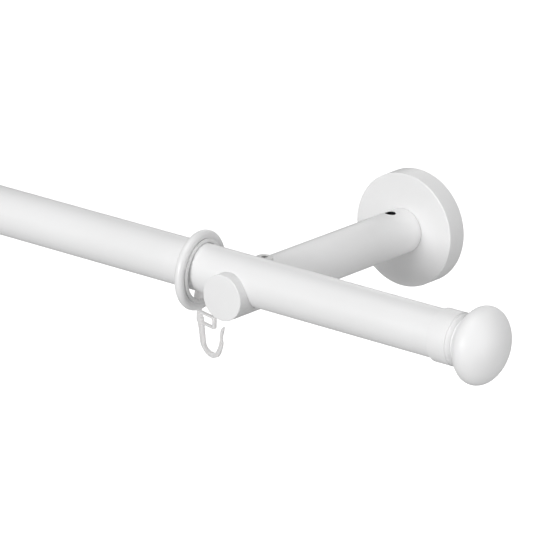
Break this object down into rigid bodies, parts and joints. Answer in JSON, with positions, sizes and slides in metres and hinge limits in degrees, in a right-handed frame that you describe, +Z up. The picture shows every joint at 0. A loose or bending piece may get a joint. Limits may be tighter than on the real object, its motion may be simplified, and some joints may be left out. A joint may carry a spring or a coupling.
{
  "type": "curtain rod with brackets",
  "caption": "Round curtain rod on wall brackets with open saddles, turned end knobs, and rings that slide along it and carry swivel hooks.",
  "frame": {"origin": "on the wall, midway between the two brackets, at the height of the bracket arms' centreline", "axes": "+X along the rod to the right as seen from the room, +Y into the wall, +Z up"},
  "size_m": [0.844, 0.1314, 0.0559],
  "materials": {
    "rod_paint": "satin white paint",
    "bracket_paint": "satin white paint",
    "knob_paint": "satin white paint, slightly glossier",
    "ring_paint": "satin white paint",
    "screw_white": "white screw",
    "grub_steel": "black oxide steel",
    "plate_steel": "zinc plated steel",
    "screw_steel": "zinc plated steel",
    "plug_plastic": "natural nylon",
    "liner_plastic": "white glide plastic",
    "hook_plastic": "translucent white plastic"
  },
  "bodies": {
    "mounting": {"left_wall_plate": "plate_steel", "left_spigot": "plate_steel", "left_spigot_screw": "screw_steel", "left_rosette": "bracket_paint", "left_arm": "bracket_paint", "right_wall_plate": "plate_steel", "right_spigot": "plate_steel", "right_spigot_screw": "screw_steel", "right_rosette": "bracket_paint", "right_arm": "bracket_paint"},
    "rod": {"rod_tube": "rod_paint"},
    "left_knob": {"left_end_knob": "knob_paint", "left_knob_plug": "plug_plastic", "left_knob_screw": "screw_steel"},
    "left_clamp": {"left_rod_clamp_screw": "screw_white"},
    "left_grub": {"left_arm_grub_screw": "grub_steel"},
    "right_knob": {"right_end_knob": "knob_paint", "right_knob_plug": "plug_plastic", "right_knob_screw": "screw_steel"},
    "right_clamp": {"right_rod_clamp_screw": "screw_white"},
    "right_grub": {"right_arm_grub_screw": "grub_steel"},
    "ring_1_slider": {"ring_liner_1": "liner_plastic"},
    "ring_1_body": {"ring_1": "ring_paint"},
    "hook_1_body": {"swivel_hook_1": "hook_plastic"},
    "ring_2_slider": {"ring_liner_2": "liner_plastic"},
    "ring_2_body": {"ring_2": "ring_paint"},
    "hook_2_body": {"swivel_hook_2": "hook_plastic"},
    "ring_3_slider": {"ring_liner_3": "liner_plastic"},
    "ring_3_body": {"ring_3": "ring_paint"},
    "hook_3_body": {"swivel_hook_3": "hook_plastic"},
    "ring_4_slider": {"ring_liner_4": "liner_plastic"},
    "ring_4_body": {"ring_4": "ring_paint"},
    "hook_4_body": {"swivel_hook_4": "hook_plastic"},
    "ring_5_slider": {"ring_liner_5": "liner_plastic"},
    "ring_5_body": {"ring_5": "ring_paint"},
    "hook_5_body": {"swivel_hook_5": "hook_plastic"}
  },
  "joints": [
    {"name": "rod_slide", "type": "slide", "parent": "mounting", "child": "rod", "axis": [1, 0, 0], "range_m": [-0.08, 0.08]},
    {"name": "left_knob_pull", "type": "slide", "parent": "rod", "child": "left_knob", "axis": [-1, 0, 0], "range_m": [0, 0.024]},
    {"name": "left_clamp_turn", "type": "hinge", "parent": "mounting", "child": "left_clamp", "pos_m": [-0.295, -0.1021, 0.0048], "axis": [0, 0, 1], "continuous": true},
    {"name": "left_grub_turn", "type": "hinge", "parent": "mounting", "child": "left_grub", "pos_m": [-0.295, -0.0188, 0.006], "axis": [0, 0, 1], "continuous": true},
    {"name": "right_knob_pull", "type": "slide", "parent": "rod", "child": "right_knob", "axis": [1, 0, 0], "range_m": [0, 0.024]},
    {"name": "right_clamp_turn", "type": "hinge", "parent": "mounting", "child": "right_clamp", "pos_m": [0.295, -0.1021, 0.0048], "axis": [0, 0, 1], "continuous": true},
    {"name": "right_grub_turn", "type": "hinge", "parent": "mounting", "child": "right_grub", "pos_m": [0.295, -0.0188, 0.006], "axis": [0, 0, 1], "continuous": true},
    {"name": "ring_1_slide", "type": "slide", "parent": "mounting", "child": "ring_1_slider", "axis": [1, 0, 0], "range_m": [-0.008, 0.1161]},
    {"name": "ring_1_swing", "type": "hinge", "parent": "ring_1_slider", "child": "ring_1_body", "pos_m": [-0.27215, -0.1148, 0.00315], "axis": [0.9962, 0.0872, 0], "range_deg": [-20, 20]},
    {"name": "hook_1_turn", "type": "hinge", "parent": "ring_1_body", "child": "hook_1_body", "pos_m": [-0.27215, -0.1148, -0.01155], "axis": [0, 0, 1], "continuous": true},
    {"name": "ring_2_slide", "type": "slide", "parent": "mounting", "child": "ring_2_slider", "axis": [1, 0, 0], "range_m": [-0.1161, 0.1161]},
    {"name": "ring_2_swing", "type": "hinge", "parent": "ring_2_slider", "child": "ring_2_body", "pos_m": [-0.13608, -0.1148, 0.00315], "axis": [0.9962, 0.0872, 0], "range_deg": [-20, 20]},
    {"name": "hook_2_turn", "type": "hinge", "parent": "ring_2_body", "child": "hook_2_body", "pos_m": [-0.13608, -0.1148, -0.01155], "axis": [0, 0, 1], "continuous": true},
    {"name": "ring_3_slide", "type": "slide", "parent": "mounting", "child": "ring_3_slider", "axis": [1, 0, 0], "range_m": [-0.1161, 0.1161]},
    {"name": "ring_3_swing", "type": "hinge", "parent": "ring_3_slider", "child": "ring_3_body", "pos_m": [0, -0.1148, 0.00315], "axis": [0.9962, 0.0872, 0], "range_deg": [-20, 20]},
    {"name": "hook_3_turn", "type": "hinge", "parent": "ring_3_body", "child": "hook_3_body", "pos_m": [0, -0.1148, -0.01155], "axis": [0, 0, 1], "continuous": true},
    {"name": "ring_4_slide", "type": "slide", "parent": "mounting", "child": "ring_4_slider", "axis": [1, 0, 0], "range_m": [-0.1161, 0.1161]},
    {"name": "ring_4_swing", "type": "hinge", "parent": "ring_4_slider", "child": "ring_4_body", "pos_m": [0.13608, -0.1148, 0.00315], "axis": [0.9962, 0.0872, 0], "range_deg": [-20, 20]},
    {"name": "hook_4_turn", "type": "hinge", "parent": "ring_4_body", "child": "hook_4_body", "pos_m": [0.13608, -0.1148, -0.01155], "axis": [0, 0, 1], "continuous": true},
    {"name": "ring_5_slide", "type": "slide", "parent": "mounting", "child": "ring_5_slider", "axis": [1, 0, 0], "range_m": [-0.1161, 0.008]},
    {"name": "ring_5_swing", "type": "hinge", "parent": "ring_5_slider", "child": "ring_5_body", "pos_m": [0.27215, -0.1148, 0.00315], "axis": [0.9962, 0.0872, 0], "range_deg": [-20, 20]},
    {"name": "hook_5_turn", "type": "hinge", "parent": "ring_5_body", "child": "hook_5_body", "pos_m": [0.27215, -0.1148, -0.01155], "axis": [0, 0, 1], "continuous": true}
  ]
}
